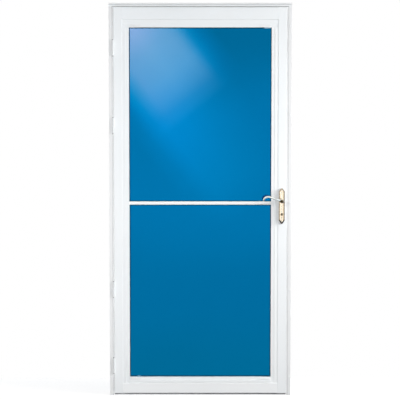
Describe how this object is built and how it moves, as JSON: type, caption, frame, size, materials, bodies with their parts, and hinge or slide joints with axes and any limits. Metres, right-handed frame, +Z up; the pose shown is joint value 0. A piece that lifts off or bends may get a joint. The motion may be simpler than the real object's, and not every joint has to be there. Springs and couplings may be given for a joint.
{
  "type": "aluminium storm door",
  "caption": "Full-view storm door in its slim face-mounted frame: white aluminium leaf, glass above and below a meeting rail, side hinges and a lever latch.",
  "frame": {"origin": "on the back face of the hinge-side mounting flange, at mid-width of the flange, at the foot of the frame", "axes": "+Z up, +X from the hinge side to the latch side, +Y into the house, square to the face of the door surround"},
  "size_m": [0.954, 0.1452, 2.061],
  "materials": {
    "white_aluminium": "white baked enamel, satin",
    "white_insert": "white baked enamel, satin",
    "pane_glass": "clear polished glass with a blue cast",
    "brass": "polished, lacquered",
    "hinge_steel": "white enamel on steel",
    "plated_steel": "zinc plated",
    "white_plastic": "moulded, satin",
    "grey_vinyl": "stiff dark vinyl",
    "white_vinyl": "soft pale vinyl",
    "pile": "woven pale pile"
  },
  "bodies": {
    "frame": {"hinge_bar_flange": "white_aluminium", "hinge_bar_web": "white_aluminium", "hinge_bar_stop": "white_aluminium", "latch_bar_flange": "white_aluminium", "latch_bar_lower_web": "white_aluminium", "latch_bar_upper_web": "white_aluminium", "latch_bar_stop": "white_aluminium", "strike_plate": "plated_steel", "latch_bar_middle_web": "white_aluminium", "head_bar_flange": "white_aluminium", "head_bar_web": "white_aluminium", "head_bar_stop": "white_aluminium", "head_rain_cap": "white_aluminium", "hinge_side_weatherstrip": "pile", "latch_side_weatherstrip": "pile", "header_weatherstrip": "pile", "hinge_frame_leaves": "hinge_steel", "hinge_pins": "plated_steel"},
    "door_leaf": {"hinge_stile": "white_aluminium", "latch_stile": "white_aluminium", "top_rail": "white_aluminium", "bottom_rail": "white_aluminium", "left_glass_track": "white_insert", "right_glass_track": "white_insert", "insert_head": "white_insert", "insert_sill": "white_insert", "upper_glass_pane": "pane_glass", "lower_glass_pane": "pane_glass", "meeting_rail": "white_insert", "lower_pane_top_rail": "white_insert", "glass_retainer_clips": "white_plastic", "screen_case": "white_insert", "screen_case_end_caps": "white_plastic", "screen_pull_bar": "white_insert", "sweep_carrier": "grey_vinyl", "bottom_sweep": "white_vinyl", "outside_handle_plate": "brass", "inside_handle_plate": "brass", "key_cylinder": "brass", "inside_thumbturn": "brass", "latch_faceplate": "plated_steel", "hinge_door_leaves": "hinge_steel"},
    "lever_handle": {"outside_lever": "brass", "inside_lever": "brass", "lever_spindle": "plated_steel"}
  },
  "joints": [
    {"name": "door_swing", "type": "hinge", "parent": "frame", "child": "door_leaf", "pos_m": [0.0126, -0.0095, 1], "axis": [0, 0, -1], "range_deg": [0, 110]},
    {"name": "lever_turn", "type": "hinge", "parent": "door_leaf", "child": "lever_handle", "pos_m": [0.8962, 0, 1.03], "axis": [0, -1, 0], "range_deg": [0, 40], "stiffness_Nm_per_rad": 1, "springref_deg": -20.05}
  ]
}
